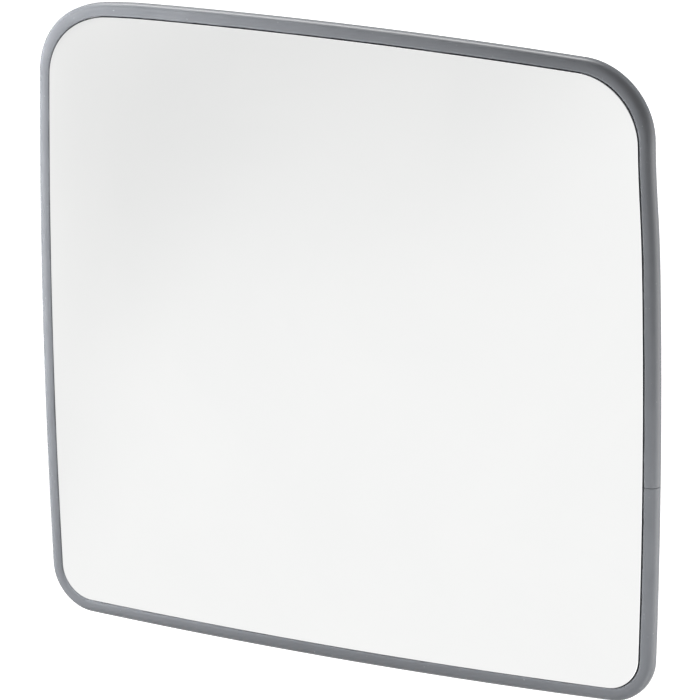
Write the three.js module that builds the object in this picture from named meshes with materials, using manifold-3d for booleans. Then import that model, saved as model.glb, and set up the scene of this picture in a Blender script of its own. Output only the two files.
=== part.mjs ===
// Convex wall mirror on a ball-jointed arm.
// Millimetres, +Z up. The mirror faces -Y and the wall is the plane Y = 0.
// The origin is the centre of the wall plate's back face, on the arm's axis.

import * as THREE from 'three';
import { mergeVertices } from 'three/addons/utils/BufferGeometryUtils.js';
import Module from 'manifold-3d';

// ---------------------------------------------------------------- dimensions
// Mirror outline, measured over the edge trim.
const WIDTH = 440.8;            // across the corners' tangent points
const HEIGHT = 410.4;
const BOW_X = 4.6;              // each upright side bows out by this much
const BOW_Z = 4.9;              // top and bottom likewise
const R_TOP = 50;               // upper corner radius of the mirror's own edge, where it is a full corner
const R_BOTTOM = 30;            // lower corner radius
const TIGHTER_TOP = 2.7;        // how much smaller the radii are at the trim's outer edge,
const TIGHTER_BOTTOM = 1.5;     // so the trim is fuller at the corners than along the sides
const CORNER_STEPS = 8;
const SIDE_STEPS = 8;

// Arm and ball joint.
const BALL_Y = -165;            // ball centre, in front of the wall
const BALL_R = 15;
const LINER_IN = 15.4;
const LINER_OUT = 17.6;
const SOCKET_R = 18.0;
const NECK_R = 5.5;
const OPEN_LINER = 50;          // half angle of the liner's mouth, degrees
const OPEN_RING = 60;           // half angle of the clamp ring's mouth
const ROUND = 28;               // sides of turned pieces

// Layers of the mirror head, as distances in front of the ball centre.
const FLANGE_BACK = 17;         // socket flange, wall side
const FLANGE_FRONT = 21;
const BOARD_BACK = 21.2;        // back board
const BOARD_FRONT = 24.2;
const MID = 24.3;               // middle of the edge trim
const LENS_BACK = 24.4;         // rim of the mirror sheet
const LENS_FRONT = 27.4;
const LENS_T = 3;
const STEP = 2.4;               // the face stands this far over its flange
const FOOT_INSET = 9.1;         // foot of that step, in from the outline
const FACE_INSET = 9.6;         // edge of the reflecting face
const HOLLOW_INSET = 11.8;      // the same edge on the sheet's back
const DOME = 38;                // rise of the dome over the face's edge
const PLATE_BACK = 24.4;        // spreader plate behind the dome
const PLATE_FRONT = 26.4;

// Edge trim: a rounded channel.
const TRIM_T = 11;              // front to back
const TRIM_W = 8.6;             // seen from the front
const TRIM_R = 5;               // rounding of its outer edges
const SLOT_HALF = 3.4;          // half the slot's width
const SLOT_BOTTOM = 2.4;        // trim thickness at the outline
const SHEET_INSET = 2.7;        // sheet edges, in from the outline
const SEAM_Z = -61.7;             // butt joint on the +X side
const SEAM_GAP = 0.35;

// Fasteners and bracket.
const BOLT_AT = 30;             // bolts at +-30, +-30
const BOLT_R = 2.9;
const BOLT_HOLE_R = 3.4;
const CLAMP_PCD_R = 25;
const ARM_R = 11;
const ARM_BORE = 9.5;
const ARM_FRONT = BALL_Y + 45.5;
const ARM_BACK = -3.3;
const PLATE_SIZE = 100;
const PLATE_T = 3;
const WALL_HOLE = 36;           // screw holes at +-36, +-36
const WALL_HOLE_R = 3.25;
const COLLAR_R = 16;
const COLLAR_IN = 11.35;
const COLLAR_FRONT = -33;
const LOCK_Y = -20;             // lock screw, down through the collar

// ------------------------------------------------------------------ helpers
const wasm = await Module();
wasm.setup();
const rad = Math.PI / 180;

// Weld a geometry to shared vertices and turn its faces outwards.
function weld(geometry) {
  let g = geometry.clone();
  g.deleteAttribute('normal');
  g.deleteAttribute('uv');
  g = mergeVertices(g, 1e-4);
  const p = g.attributes.position.array;
  const index = g.index.array;
  const keep = [];
  let volume = 0;
  for (let i = 0; i < index.length; i += 3) {
    const [a, b, c] = [index[i], index[i + 1], index[i + 2]];
    if (a === b || b === c || c === a) continue;
    keep.push(a, b, c);
    const A = new THREE.Vector3().fromArray(p, 3 * a);
    const B = new THREE.Vector3().fromArray(p, 3 * b);
    const C = new THREE.Vector3().fromArray(p, 3 * c);
    volume += A.dot(B.cross(C));
  }
  if (volume < 0) {
    for (let i = 0; i < keep.length; i += 3) [keep[i + 1], keep[i + 2]] = [keep[i + 2], keep[i + 1]];
  }
  g.setIndex(keep);
  return g;
}

function toSolid(geometry) {
  const g = weld(geometry);
  return new wasm.Manifold(new wasm.Mesh({
    numProp: 3,
    vertProperties: new Float32Array(g.attributes.position.array),
    triVerts: new Uint32Array(g.index.array),
  }));
}

function toGeometry(solid) {
  const m = solid.getMesh();
  const g = new THREE.BufferGeometry();
  g.setAttribute('position', new THREE.BufferAttribute(new Float32Array(m.vertProperties), 3));
  g.setIndex(Array.from(m.triVerts));
  return weld(g);
}

const cut = (base, ...tools) => toGeometry(tools.reduce((s, t) => s.subtract(toSolid(t)), toSolid(base)));

// A turned piece about the Y axis: profile of [radius, y] pairs, y from the ball centre.
function turned(profile, sides = ROUND, y0 = BALL_Y) {
  const g = new THREE.LatheGeometry(profile.map(([r, y]) => new THREE.Vector2(r, y)), sides);
  g.translate(0, y0, 0);
  return g;
}

// A prism along Y from y1 to y2, drawn from a shape in the X-Z plane.
function prism(shape, y1, y2, curveSegments = 6) {
  const g = new THREE.ExtrudeGeometry(shape, { depth: y2 - y1, bevelEnabled: false, curveSegments });
  g.rotateX(Math.PI / 2);        // depth now runs along -Y, drawing's y along Z
  g.translate(0, y2, 0);
  return g;
}

function rod(r, y1, y2, x = 0, z = 0, sides = 16) {
  const g = new THREE.CylinderGeometry(r, r, y2 - y1, sides);
  g.translate(x, (y1 + y2) / 2, z);
  return g;
}

function hexRod(flats, y1, y2, x = 0, z = 0) {
  return rod(flats / Math.sqrt(3), y1, y2, x, z, 6);
}

function roundedSquare(half, r) {
  const s = new THREE.Shape();
  s.moveTo(-half + r, -half);
  s.lineTo(half - r, -half);
  s.absarc(half - r, -half + r, r, -Math.PI / 2, 0, false);
  s.lineTo(half, half - r);
  s.absarc(half - r, half - r, r, 0, Math.PI / 2, false);
  s.lineTo(-half + r, half);
  s.absarc(-half + r, half - r, r, Math.PI / 2, Math.PI, false);
  s.lineTo(-half, -half + r);
  s.absarc(-half + r, -half + r, r, Math.PI, 1.5 * Math.PI, false);
  return s;
}

// Points of an arc of radius r about the ball centre, in the lathe's [radius, y]
// plane, from angle a to b, measured from the -Y pole.
function arc(r, a, b, step = 12) {
  const n = Math.max(1, Math.round(Math.abs(b - a) / step));
  return Array.from({ length: n + 1 }, (_, i) => {
    const t = (a + (b - a) * i / n) * rad;
    return [Math.abs(r * Math.sin(t)) < 1e-9 ? 0 : r * Math.sin(t), -r * Math.cos(t)];
  });
}

// The mirror's outline, counter-clockwise seen from -Y, moved in by `inset`.
const HW = WIDTH / 2;
const HH = HEIGHT / 2;
function outline(inset) {
  const pts = [];
  // The sides bow outwards, and the outline falls away a little in two places:
  // on top beside the -X corner, and on the +X side below its upper corner.
  const bend = (x, z) => [
    x + BOW_X * (x / HW) * (1 - (z / HH) ** 2)
      - (x > 0 ? 1.5 * Math.exp(-(((z - 143) / 36) ** 2)) * (x / HW) ** 6 : 0),
    z + BOW_Z * (z / HH) * (1 - (x / HW) ** 2)
      - (z > 0 ? 1.9 * Math.exp(-(((x + 188) / 24) ** 2)) * (z / HH) ** 6 : 0),
  ];
  const corner = (cx, cz, r, from) => {
    for (let i = 0; i <= CORNER_STEPS; i++) {
      const a = (from + 90 * i / CORNER_STEPS) * rad;
      pts.push(bend(cx + (r - inset) * Math.cos(a), cz + (r - inset) * Math.sin(a)));
    }
  };
  const side = (x1, z1, x2, z2) => {
    for (let i = 1; i < SIDE_STEPS; i++) {
      const t = i / SIDE_STEPS;
      pts.push(bend(x1 + (x2 - x1) * t, z1 + (z2 - z1) * t));
    }
  };
  const w = HW - inset;
  const h = HH - inset;
  const outward = Math.max(0, 1 - inset / FACE_INSET);
  const RT = R_TOP - TIGHTER_TOP * outward;
  const RB = R_BOTTOM - TIGHTER_BOTTOM * outward;
  corner(HW - RB, -HH + RB, RB, -90);
  side(w, -HH + RB, w, HH - RT);
  corner(HW - RT, HH - RT, RT, 0);
  side(HW - RT, h, -HW + RT, h);
  corner(-HW + RT, HH - RT, RT, 90);
  side(-w, HH - RT, -w, -HH + RB);
  corner(-HW + RB, -HH + RB, RB, 180);
  side(-HW + RB, -h, HW - RB, -h);
  return pts;
}
const OUTLINE_POINTS = outline(0).length;

// A ring or sheet that follows the outline: a closed lathe profile whose radius
// is the distance in from the outline, with each spoke's points moved to
// `place(spoke, inset)`, which gives [x, z], or [x, z, y] where y varies too.
function aroundOutline(profile, place) {
  const g = new THREE.LatheGeometry(profile.map(([d, y]) => new THREE.Vector2(d + 1000, y)), OUTLINE_POINTS);
  const p = g.attributes.position;
  const n = profile.length;
  for (let spoke = 0; spoke <= OUTLINE_POINTS; spoke++) {
    for (let j = 0; j < n; j++) {
      const k = spoke * n + j;
      const [x, z, y = profile[j][1]] = place(spoke % OUTLINE_POINTS, profile[j][0]);
      p.setXYZ(k, x, y, z);
    }
  }
  return g;
}
const cache = new Map();
const onOutline = (spoke, inset) => {
  if (!cache.has(inset)) cache.set(inset, outline(inset));
  return cache.get(inset)[spoke];
};

const group = new THREE.Group();
group.name = 'convex_mirror';
function add(name, geometry, material, parent = group) {
  const mesh = new THREE.Mesh(weld(geometry), material);
  mesh.name = name;
  parent.add(mesh);
  return mesh;
}

// ---------------------------------------------------------------- materials
const mat = (color, roughness, metalness) => new THREE.MeshStandardMaterial({ color, roughness, metalness });
const silvered = mat(0xe9e9e8, 0.03, 1.0);
const greyVinyl = mat(0x74777b, 0.35, 0.0);
const hardboard = mat(0x5a3c26, 0.75, 0.0);
const blackCoat = mat(0x161719, 0.5, 0.2);
const zinc = mat(0xb4b8bb, 0.35, 0.9);
const ballSteel = mat(0xc8cacc, 0.18, 1.0);
const nylon = mat(0xd9d6cb, 0.45, 0.0);
const castBlack = mat(0x1c1d1f, 0.55, 0.3);

// ------------------------------------------------------------- mirror head
const headY = (d) => BALL_Y - d;          // a distance in front of the ball centre
const midY = headY(MID);

// Mirror sheet: a flat flange held by the trim, a short step up to the level of
// the trim's front, then a dome. Level lines are round at the middle and follow
// the outline at the edge. The dome's height is that of a
// membrane under even pressure, solved on the sheet's own triangles.
{
  const RINGS = 7;
  const SPOKES = OUTLINE_POINTS;
  const rim = outline(FACE_INSET);
  const plan = (ring, spoke) => {
    const s = ring / RINGS;
    const [x, z] = rim[spoke];
    const a = Math.atan2(z / HH, x / HW);
    const w = s ** 2;
    return [
      s * (w * x + (1 - w) * (HW - FACE_INSET + BOW_X) * Math.cos(a)),
      s * (w * z + (1 - w) * (HH - FACE_INSET + BOW_Z) * Math.sin(a)),
    ];
  };
  const node = (ring, spoke) => (ring === 0 ? 0 : 1 + (ring - 1) * SPOKES + (spoke + SPOKES) % SPOKES);
  const points = [plan(0, 0)];
  for (let i = 1; i <= RINGS; i++) for (let k = 0; k < SPOKES; k++) points.push(plan(i, k));
  const links = points.map(() => new Map());
  const load = points.map(() => 0);
  const element = (...n) => {
    const [A, B, C] = n.map((i) => points[i]);
    const twice = Math.abs((B[0] - A[0]) * (C[1] - A[1]) - (B[1] - A[1]) * (C[0] - A[0]));
    if (twice < 1e-9) return;
    for (let i = 0; i < 3; i++) {
      const [a, b, c] = [n[i], n[(i + 1) % 3], n[(i + 2) % 3]];
      const [P, Q, S] = [points[a], points[b], points[c]];
      const cot = ((Q[0] - P[0]) * (S[0] - P[0]) + (Q[1] - P[1]) * (S[1] - P[1])) / twice;
      links[b].set(c, (links[b].get(c) || 0) + cot / 4);
      links[c].set(b, (links[c].get(b) || 0) + cot / 4);
      load[a] += twice / 12;
    }
  };
  for (let i = 0; i < RINGS; i++) {
    for (let k = 0; k < SPOKES; k++) {
      const quad = [node(i, k), node(i + 1, k), node(i + 1, k + 1), node(i, k + 1)];
      if (i === 0) {
        element(quad[0], quad[1], quad[2]);
        element(quad[0], quad[1], quad[2]);
        continue;
      }
      element(quad[0], quad[1], quad[2]);
      element(quad[0], quad[2], quad[3]);
      element(quad[0], quad[1], quad[3]);
      element(quad[1], quad[2], quad[3]);
    }
  }
  const height = points.map(() => 0);
  const last = 1 + (RINGS - 1) * SPOKES;
  for (let pass = 0; pass < 900; pass++) {
    for (let i = 0; i < last; i++) {
      let sum = 0;
      let weight = 0;
      for (const [j, w] of links[i]) { sum += w * height[j]; weight += w; }
      height[i] += 1.6 * ((sum + load[i]) / weight - height[i]);
    }
  }
  const scale = DOME / height[0];
  const rise = (ring, spoke) => scale * height[node(ring, spoke)];

  // Profile keys above 100 stand for the dome's front rings, above 200 for its
  // back; keys 1 to 5 are the flange's corners.
  const faceY = (ring, spoke) => headY(LENS_FRONT + STEP + rise(ring, spoke));
  const corners = {
    1: [FOOT_INSET, headY(LENS_FRONT)],
    2: [SHEET_INSET, headY(LENS_FRONT)],
    3: [SHEET_INSET, headY(LENS_BACK)],
    4: [HOLLOW_INSET - 0.5, headY(LENS_BACK)],
    5: [HOLLOW_INSET, headY(LENS_BACK + STEP)],
  };
  const keys = [];
  for (let i = 0; i <= RINGS; i++) keys.push(100 + i);
  keys.push(1, 2, 3, 4, 5);
  for (let i = RINGS - 1; i >= 0; i--) keys.push(200 + i);
  const place = (spoke, key) => {
    if (key < 100) return [...onOutline(spoke, corners[key][0]), corners[key][1]];
    const ring = key % 100;
    return [...plan(ring, spoke), faceY(ring, spoke) + (key < 200 ? 0 : LENS_T)];
  };
  add('mirror_lens', aroundOutline(keys.map((k) => [k, 0]), (spoke, key) => place(spoke, key)), silvered);
}

// Edge trim: rounded outside, a slot inside, cut through once at the butt joint.
{
  const h = TRIM_T / 2;
  const curve = [0, 22.5, 45, 67.5, 90].map((a) => [
    TRIM_R - TRIM_R * Math.sin(a * rad), h - TRIM_R + TRIM_R * Math.cos(a * rad)]);
  const half = [[TRIM_W, SLOT_HALF], [TRIM_W, h - 1.1], [TRIM_W - 0.6, h - 0.4], [TRIM_W - 2, h - 0.08], ...curve];
  const profile = [
    [SLOT_BOTTOM, SLOT_HALF],
    ...half,
    ...half.slice().reverse().map(([d, y]) => [d, -y]),
    [SLOT_BOTTOM, -SLOT_HALF],
    [SLOT_BOTTOM, SLOT_HALF],
  ].map(([d, y]) => [d, midY + y]);
  const ring = aroundOutline(profile, onOutline);
  const saw = new THREE.BoxGeometry(30, 20, SEAM_GAP);
  saw.translate(HW + BOW_X, midY, SEAM_Z);
  add('edge_trim', cut(ring, saw), greyVinyl);
}

// Back board, with four bolt holes.
{
  const pts = outline(SHEET_INSET).map(([x, z]) => new THREE.Vector2(x, z));
  const board = prism(new THREE.Shape(pts), headY(BOARD_FRONT), headY(BOARD_BACK));
  const drills = [];
  for (const x of [-BOLT_AT, BOLT_AT]) for (const z of [-BOLT_AT, BOLT_AT]) {
    drills.push(rod(BOLT_HOLE_R, headY(40), headY(10), x, z));
  }
  add('back_board', cut(board, ...drills), hardboard);

  const plate = prism(roundedSquare(42, 9), headY(PLATE_FRONT), headY(PLATE_BACK), 4);
  add('spreader_plate', cut(plate, ...drills), zinc);
}

// Four bolts, washers and nuts.
{
  let i = 0;
  for (const z of [BOLT_AT, -BOLT_AT]) for (const x of [-BOLT_AT, BOLT_AT]) {
    i += 1;
    const head = hexRod(10, headY(PLATE_FRONT + 4.1), headY(PLATE_FRONT + 0.1), x, z);
    const shank = rod(BOLT_R, headY(PLATE_FRONT + 0.5), headY(FLANGE_BACK - 9.5), x, z, 12);
    add(`mount_bolt_${i}`, toGeometry(toSolid(head).add(toSolid(shank))), zinc);
    const washer = rod(6, headY(FLANGE_BACK - 0.1), headY(FLANGE_BACK - 1.7), x, z, 16);
    const hole = rod(3.3, headY(30), headY(0), x, z, 16);
    add(`mount_washer_${i}`, cut(washer, hole), zinc);
    const nut = hexRod(10, headY(FLANGE_BACK - 1.8), headY(FLANGE_BACK - 6.8), x, z);
    add(`mount_nut_${i}`, cut(nut, rod(3.15, headY(30), headY(0), x, z, 12)), zinc);
  }
}

// Socket body: square flange and a cup that holds the front half of the ball.
const clampSpots = [90, 210, 330].map((a) => [CLAMP_PCD_R * Math.cos(a * rad), CLAMP_PCD_R * Math.sin(a * rad)]);
{
  const flange = prism(roundedSquare(42, 9), headY(FLANGE_FRONT), headY(FLANGE_BACK), 4);
  const boss = turned([[0, -FLANGE_FRONT + 1], [32, -FLANGE_FRONT + 1], [32, -FLANGE_BACK + 1], [30.5, -FLANGE_BACK + 3.5], [30, -0.4], [0, -0.4]]);
  const hollow = turned([...arc(SOCKET_R, 0, 90), [SOCKET_R, 5], [0, 5]]);
  const holes = clampSpots.map(([x, z]) => rod(2.25, headY(14), headY(-2), x, z, 10));
  const drills = [];
  for (const x of [-BOLT_AT, BOLT_AT]) for (const z of [-BOLT_AT, BOLT_AT]) {
    drills.push(rod(BOLT_HOLE_R, headY(40), headY(10), x, z));
  }
  let s = toSolid(flange).add(toSolid(boss));
  for (const t of [hollow, ...holes, ...drills]) s = s.subtract(toSolid(t));
  add('socket_body', toGeometry(s), castBlack);
}

// Clamp ring: closes the cup behind the ball; its mouth flares for the neck.
{
  const mouth = SOCKET_R * Math.sin(OPEN_RING * rad);
  const lip = SOCKET_R * Math.cos(OPEN_RING * rad);
  const inner = arc(SOCKET_R, 91.5, 180 - OPEN_RING, 10);
  const profile = [
    [30, 0.4], [30, 11], [28.5, 12.5], [mouth + 2.2, 12.5], [mouth, lip],
    ...inner.slice(0, -1).reverse(), [inner[0][0], 0.4], [30, 0.4],
  ];
  const holes = clampSpots.map(([x, z]) => rod(2.4, headY(5), headY(-20), x, z, 10));
  add('clamp_ring', cut(turned(profile), ...holes), castBlack);
  clampSpots.forEach(([x, z], i) => {
    const shank = rod(2, headY(11), headY(-13), x, z, 10);
    const cap = rod(3.5, headY(-12.6), headY(-16.6), x, z, 14);
    const socket = hexRod(3, headY(-14.4), headY(-18), x, z);
    const screw = toSolid(cap).add(toSolid(shank)).subtract(toSolid(socket));
    add(`clamp_screw_${i + 1}`, toGeometry(screw), zinc);
  });
}

// Two nylon liner cups between ball and socket.
{
  const front = [...arc(LINER_OUT, 0, 89), ...arc(LINER_IN, 89, 0)];
  add('liner_front', turned(front), nylon);
  const rear = [...arc(LINER_OUT, 91, 180 - OPEN_LINER), ...arc(LINER_IN, 180 - OPEN_LINER, 91)];
  rear.push(rear[0]);
  add('liner_rear', turned(rear), nylon);
}

// ---------------------------------------------------------------------- arm
{
  const start = Math.asin(NECK_R / BALL_R) / rad;
  const profile = [
    ...arc(BALL_R, 0, 180 - start),
    [NECK_R, 27], [7.5, 29], [7.5, 34.4], [5.6, 35.5], [5.6, 58], [4.6, 59], [0, 59],
  ];
  const stud = toSolid(turned(profile)).add(toSolid(hexRod(17, BALL_Y + 29, BALL_Y + 34)));
  add('ball_stud', toGeometry(stud), ballSteel);
  const nut = hexRod(18, BALL_Y + 36.6, BALL_Y + 43);
  add('jam_nut', cut(nut, rod(5.95, BALL_Y + 30, BALL_Y + 50, 0, 0, 20)), zinc);
  add('arm_plug', turned([
    [5.95, 43.2], [ARM_R, 43.2], [ARM_R, 45.3], [ARM_BORE - 0.3, 45.3], [ARM_BORE - 0.3, 63], [5.95, 63], [5.95, 43.2],
  ], 24), zinc);
  add('arm_tube', turned([
    [ARM_BORE, ARM_FRONT], [ARM_R, ARM_FRONT], [ARM_R, ARM_BACK], [ARM_BORE, ARM_BACK], [ARM_BORE, ARM_FRONT],
  ], 32, 0), blackCoat);
}

// ------------------------------------------------------------ wall bracket
{
  const plate = prism(roundedSquare(PLATE_SIZE / 2, 9), -PLATE_T, 0, 5);
  const drills = [];
  for (const x of [-WALL_HOLE, WALL_HOLE]) for (const z of [-WALL_HOLE, WALL_HOLE]) {
    drills.push(rod(WALL_HOLE_R, -10, 10, x, z));
  }
  add('wall_plate', cut(plate, ...drills), blackCoat);

  const collar = turned([
    [COLLAR_IN, COLLAR_FRONT], [COLLAR_R - 1, COLLAR_FRONT], [COLLAR_R, COLLAR_FRONT + 1],
    [COLLAR_R, -PLATE_T - 0.1], [COLLAR_IN, -PLATE_T - 0.1], [COLLAR_IN, COLLAR_FRONT],
  ], 32, 0);
  const tap = new THREE.CylinderGeometry(3.25, 3.25, 20, 14);
  tap.rotateX(Math.PI / 2);
  tap.translate(0, LOCK_Y, -16);
  add('arm_collar', cut(collar, tap), blackCoat);

  const shank = new THREE.CylinderGeometry(2.9, 2.9, 8.2, 14);
  shank.rotateX(Math.PI / 2);
  shank.translate(0, LOCK_Y, -(11.4 + 4.1));
  const head = new THREE.CylinderGeometry(10 / Math.sqrt(3), 10 / Math.sqrt(3), 4, 6);
  head.rotateX(Math.PI / 2);
  head.translate(0, LOCK_Y, -21.2);
  add('arm_lock_screw', toGeometry(toSolid(shank).add(toSolid(head))), zinc);
}

export default group;
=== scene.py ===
import math

import bpy
import bmesh
import numpy as np
from mathutils import Matrix, Vector


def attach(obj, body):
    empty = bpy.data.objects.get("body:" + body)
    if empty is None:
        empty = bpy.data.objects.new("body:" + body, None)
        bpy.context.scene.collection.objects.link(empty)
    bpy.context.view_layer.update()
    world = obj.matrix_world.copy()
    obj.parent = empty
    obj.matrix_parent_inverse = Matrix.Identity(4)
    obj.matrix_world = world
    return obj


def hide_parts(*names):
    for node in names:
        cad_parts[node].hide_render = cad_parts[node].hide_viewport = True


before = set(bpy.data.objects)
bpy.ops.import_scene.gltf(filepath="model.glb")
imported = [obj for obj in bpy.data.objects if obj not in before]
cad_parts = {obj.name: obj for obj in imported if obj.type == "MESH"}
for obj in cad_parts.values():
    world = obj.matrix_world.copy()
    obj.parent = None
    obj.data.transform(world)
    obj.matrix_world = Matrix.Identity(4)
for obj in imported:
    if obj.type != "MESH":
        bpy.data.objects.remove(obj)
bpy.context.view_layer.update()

MM = 0.001
TAU = 2 * math.pi
scene = bpy.context.scene

# ------------------------------------------------------------------ sizes
WIDTH, HEIGHT = 440.8, 410.4
HW, HH = WIDTH / 2, HEIGHT / 2
BOW_X, BOW_Z = 4.6, 4.9
R_TOP, R_BOTTOM = 50.0, 30.0
TIGHTER_TOP, TIGHTER_BOTTOM = 2.7, 1.5
BALL_Y = -165.0
MID_Y = BALL_Y - 24.3
TRIM_W = 8.6
SHEET_INSET = 2.7
FOOT_INSET, FACE_INSET, HOLLOW_INSET = 9.1, 9.6, 11.8
LENS_BACK, LENS_FRONT, STEP, LENS_T, DOME = 24.4, 27.4, 2.4, 3.0, 38.0
SEAM_Z, SEAM_GAP = -61.7, 0.3
ARM_R = 11.0


# --------------------------------------------------------------- the outline
def bend(x, z):
    """The sides bow out, and the outline falls away a little in two places."""
    side = 1.5 * math.exp(-((z - 143) / 36) ** 2) * (x / HW) ** 6 if x > 0 else 0.0
    top = 1.9 * math.exp(-((x + 188) / 24) ** 2) * (z / HH) ** 6 if z > 0 else 0.0
    return (x + BOW_X * (x / HW) * (1 - (z / HH) ** 2) - side,
            z + BOW_Z * (z / HH) * (1 - (x / HW) ** 2) - top)


def outline_keys(corner, side, seam=False):
    """Stations round the outline, counter-clockwise seen from the front: (kind, number, share)."""
    keys = []
    for c in range(4):
        keys += [("corner", c, i / corner) for i in range(corner + 1)]
        keys += [("side", c, i / side) for i in range(1, side)]
    if seam:
        z1, z2 = -HH + R_BOTTOM, HH - R_TOP
        t = (SEAM_Z - z1) / (z2 - z1)
        d = SEAM_GAP / 2 / (z2 - z1)
        at = [k for k, key in enumerate(keys) if key[0] == "side" and key[1] == 0]
        after = [k for k in at if keys[k][2] > t + d * 4]
        before = [k for k in range(at[0]) ] + [k for k in at if keys[k][2] < t - d * 4]
        start = [("side", 0, t + d), ("side", 0, t + d * 2.2)]
        end = [("side", 0, t - d * 2.2), ("side", 0, t - d)]
        keys = start + keys[after[0]:] + [keys[k] for k in before] + end
    return keys


def outline_point(key, inset):
    kind, c, t = key
    w, h = HW - inset, HH - inset
    outward = max(0.0, 1 - inset / FACE_INSET)
    RT, RB = R_TOP - TIGHTER_TOP * outward, R_BOTTOM - TIGHTER_BOTTOM * outward
    centres = [(HW - RB, -HH + RB, RB, -90), (HW - RT, HH - RT, RT, 0),
               (-HW + RT, HH - RT, RT, 90), (-HW + RB, -HH + RB, RB, 180)]
    if kind == "corner":
        cx, cz, r, a0 = centres[c]
        a = math.radians(a0 + 90 * t)
        return bend(cx + (r - inset) * math.cos(a), cz + (r - inset) * math.sin(a))
    ends = [((w, -HH + RB), (w, HH - RT)), ((HW - RT, h), (-HW + RT, h)),
            ((-w, HH - RT), (-w, -HH + RB)), ((-HW + RB, -h), (HW - RB, -h))]
    (x1, z1), (x2, z2) = ends[c]
    return bend(x1 + (x2 - x1) * t, z1 + (z2 - z1) * t)


# ------------------------------------------------------------ mesh building
def make(name, verts, faces, sharp=35, uv=None):
    """A mesh object from millimetre vertices, with faces turned outwards."""
    m = bpy.data.meshes.new(name)
    m.from_pydata([tuple(float(c) * MM for c in v) for v in verts], [], faces)
    if uv is not None:
        layer = m.uv_layers.new(name="UVMap")
        for loop in m.loops:
            layer.data[loop.index].uv = uv[loop.vertex_index]
    finish_mesh(m, sharp)
    ob = bpy.data.objects.new(name, m)
    scene.collection.objects.link(ob)
    return ob


def finish_mesh(m, sharp=35):
    bm = bmesh.new()
    bm.from_mesh(m)
    bmesh.ops.remove_doubles(bm, verts=bm.verts, dist=1e-7)
    bmesh.ops.dissolve_degenerate(bm, edges=bm.edges, dist=1e-8)
    bmesh.ops.recalc_face_normals(bm, faces=bm.faces)
    bm.to_mesh(m)
    bm.free()
    m.validate()
    m.shade_smooth()
    m.set_sharp_from_angle(angle=math.radians(sharp))
    m.update()


def stack(name, rings, n=64, centre=(0.0, 0.0), closed=False, sharp=35):
    """A piece turned about the Y axis through `centre` (x, z). Each ring is (r, y), where r and y are numbers or
    arrays over the n stations; a ring of radius 0 at either end is a pole."""
    th = np.arange(n) * TAU / n
    verts, idx = [], []
    for r, y in rings:
        if np.isscalar(r) and r == 0:
            verts.append((centre[0], float(y), centre[1]))
            idx.append([len(verts) - 1] * n)
            continue
        r = np.broadcast_to(np.asarray(r, float), (n,))
        y = np.broadcast_to(np.asarray(y, float), (n,))
        base = len(verts)
        verts += [(centre[0] + r[i] * math.cos(th[i]), y[i], centre[1] + r[i] * math.sin(th[i])) for i in range(n)]
        idx.append(list(range(base, base + n)))
    faces = []
    pairs = list(zip(range(len(rings) - 1), range(1, len(rings))))
    if closed:
        pairs.append((len(rings) - 1, 0))
    for a, b in pairs:
        for i in range(n):
            j = (i + 1) % n
            f = [idx[a][i], idx[a][j], idx[b][j], idx[b][i]]
            f = [v for k, v in enumerate(f) if v not in f[:k]]
            if len(f) > 2:
                faces.append(f)
    return make(name, verts, faces, sharp)


def rounded(points, r, closed=False, n=3):
    """The same [radius, y] polyline with its corners rounded."""
    out = []
    last = len(points)
    for i, p in enumerate(points):
        if not closed and i in (0, last - 1):
            out.append(tuple(p))
            continue
        a, b = points[i - 1], points[(i + 1) % last]
        va, vb = (a[0] - p[0], a[1] - p[1]), (b[0] - p[0], b[1] - p[1])
        la, lb = math.hypot(*va), math.hypot(*vb)
        if la < 1e-9 or lb < 1e-9:
            continue
        cos = (va[0] * vb[0] + va[1] * vb[1]) / la / lb
        if cos < -0.985:
            out.append(tuple(p))
            continue
        d = min(r, 0.42 * la, 0.42 * lb)
        s = (p[0] + va[0] / la * d, p[1] + va[1] / la * d)
        e = (p[0] + vb[0] / lb * d, p[1] + vb[1] / lb * d)
        for k in range(n + 1):
            t = k / n
            out.append(((1 - t) ** 2 * s[0] + 2 * t * (1 - t) * p[0] + t * t * e[0],
                        (1 - t) ** 2 * s[1] + 2 * t * (1 - t) * p[1] + t * t * e[1]))
    return out


def arc(r, a, b, step=4.0):
    n = max(2, int(round(abs(b - a) / step)))
    return [(r * math.sin(math.radians(a + (b - a) * i / n)), -r * math.cos(math.radians(a + (b - a) * i / n)))
            for i in range(n + 1)]


def shift(points, y0):
    return [(r, y + y0) for r, y in points]


def thread(r_root, r_top, y1, y2, pitch, n, per=8, taper=1.0):
    """Rings of a screw thread from y1 to y2 (either way round)."""
    th = np.arange(n) / n
    rings = []
    steps = max(4, int(abs(y2 - y1) / pitch * per))
    for k in range(steps + 1):
        y = y1 + (y2 - y1) * k / steps
        ph = (y / pitch - th) % 1.0
        tri = np.clip(1.5 - 3.0 * np.abs(ph - 0.5), 0, 1)
        fade = min(1.0, abs(y - y1) / (pitch * taper), abs(y2 - y) / (pitch * taper))
        rings.append((r_root + (r_top - r_root) * tri * fade, y))
    return rings


def hexagon(flats, n):
    th = np.arange(n) * 360.0 / n
    return flats / 2 / np.cos(np.radians(((th + 30) % 60) - 30))


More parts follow.
